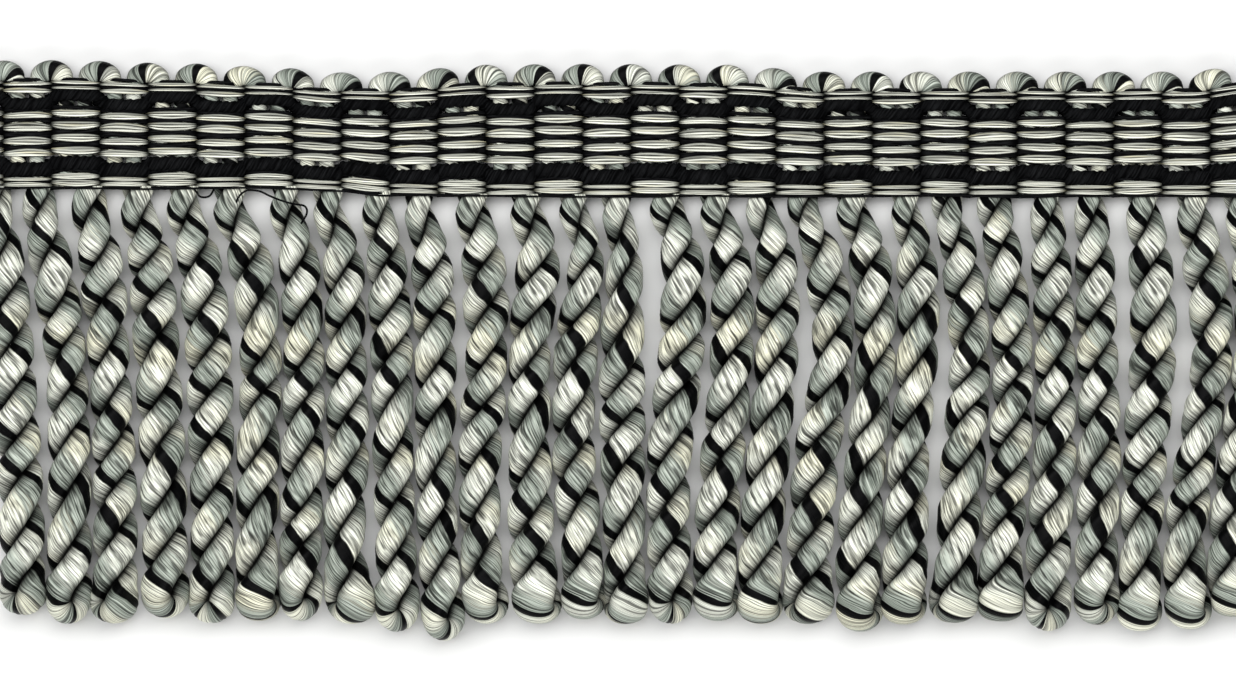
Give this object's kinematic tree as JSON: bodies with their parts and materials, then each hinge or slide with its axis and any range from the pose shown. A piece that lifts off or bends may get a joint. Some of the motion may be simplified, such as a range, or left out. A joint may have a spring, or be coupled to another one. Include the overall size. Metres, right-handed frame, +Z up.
{
  "type": "bullion fringe trim",
  "caption": "Cut length of bullion fringe lying flat: a ribbed woven heading with a scalloped top edge and dark zigzag cords, and a close row of twisted cord bullions below it.",
  "frame": {"origin": "middle of the flat back of the heading, on the surface that the trim lies on", "axes": "+X along the length of the trim, +Y across it to the scalloped edge, with the bullions reaching to -Y, and +Z up from the surface through the face side"},
  "size_m": [0.181, 0.0795, 0.0062],
  "materials": {
    "ribbon_yarn": "ivory filament yarn laid side by side in flat ribbons, soft silky sheen",
    "mixed_cord": "soft twisted cord of ivory, silver grey and black filament yarn, silky sheen along the strands",
    "black_cord": "black twisted yarn, nearly matt"
  },
  "bodies": {
    "root": {"heading_tape": "ribbon_yarn", "black_cord_upper": "black_cord", "black_cord_lower": "black_cord", "scallop_edge": "mixed_cord", "bullion_skirt": "mixed_cord"}
  },
  "joints": []
}
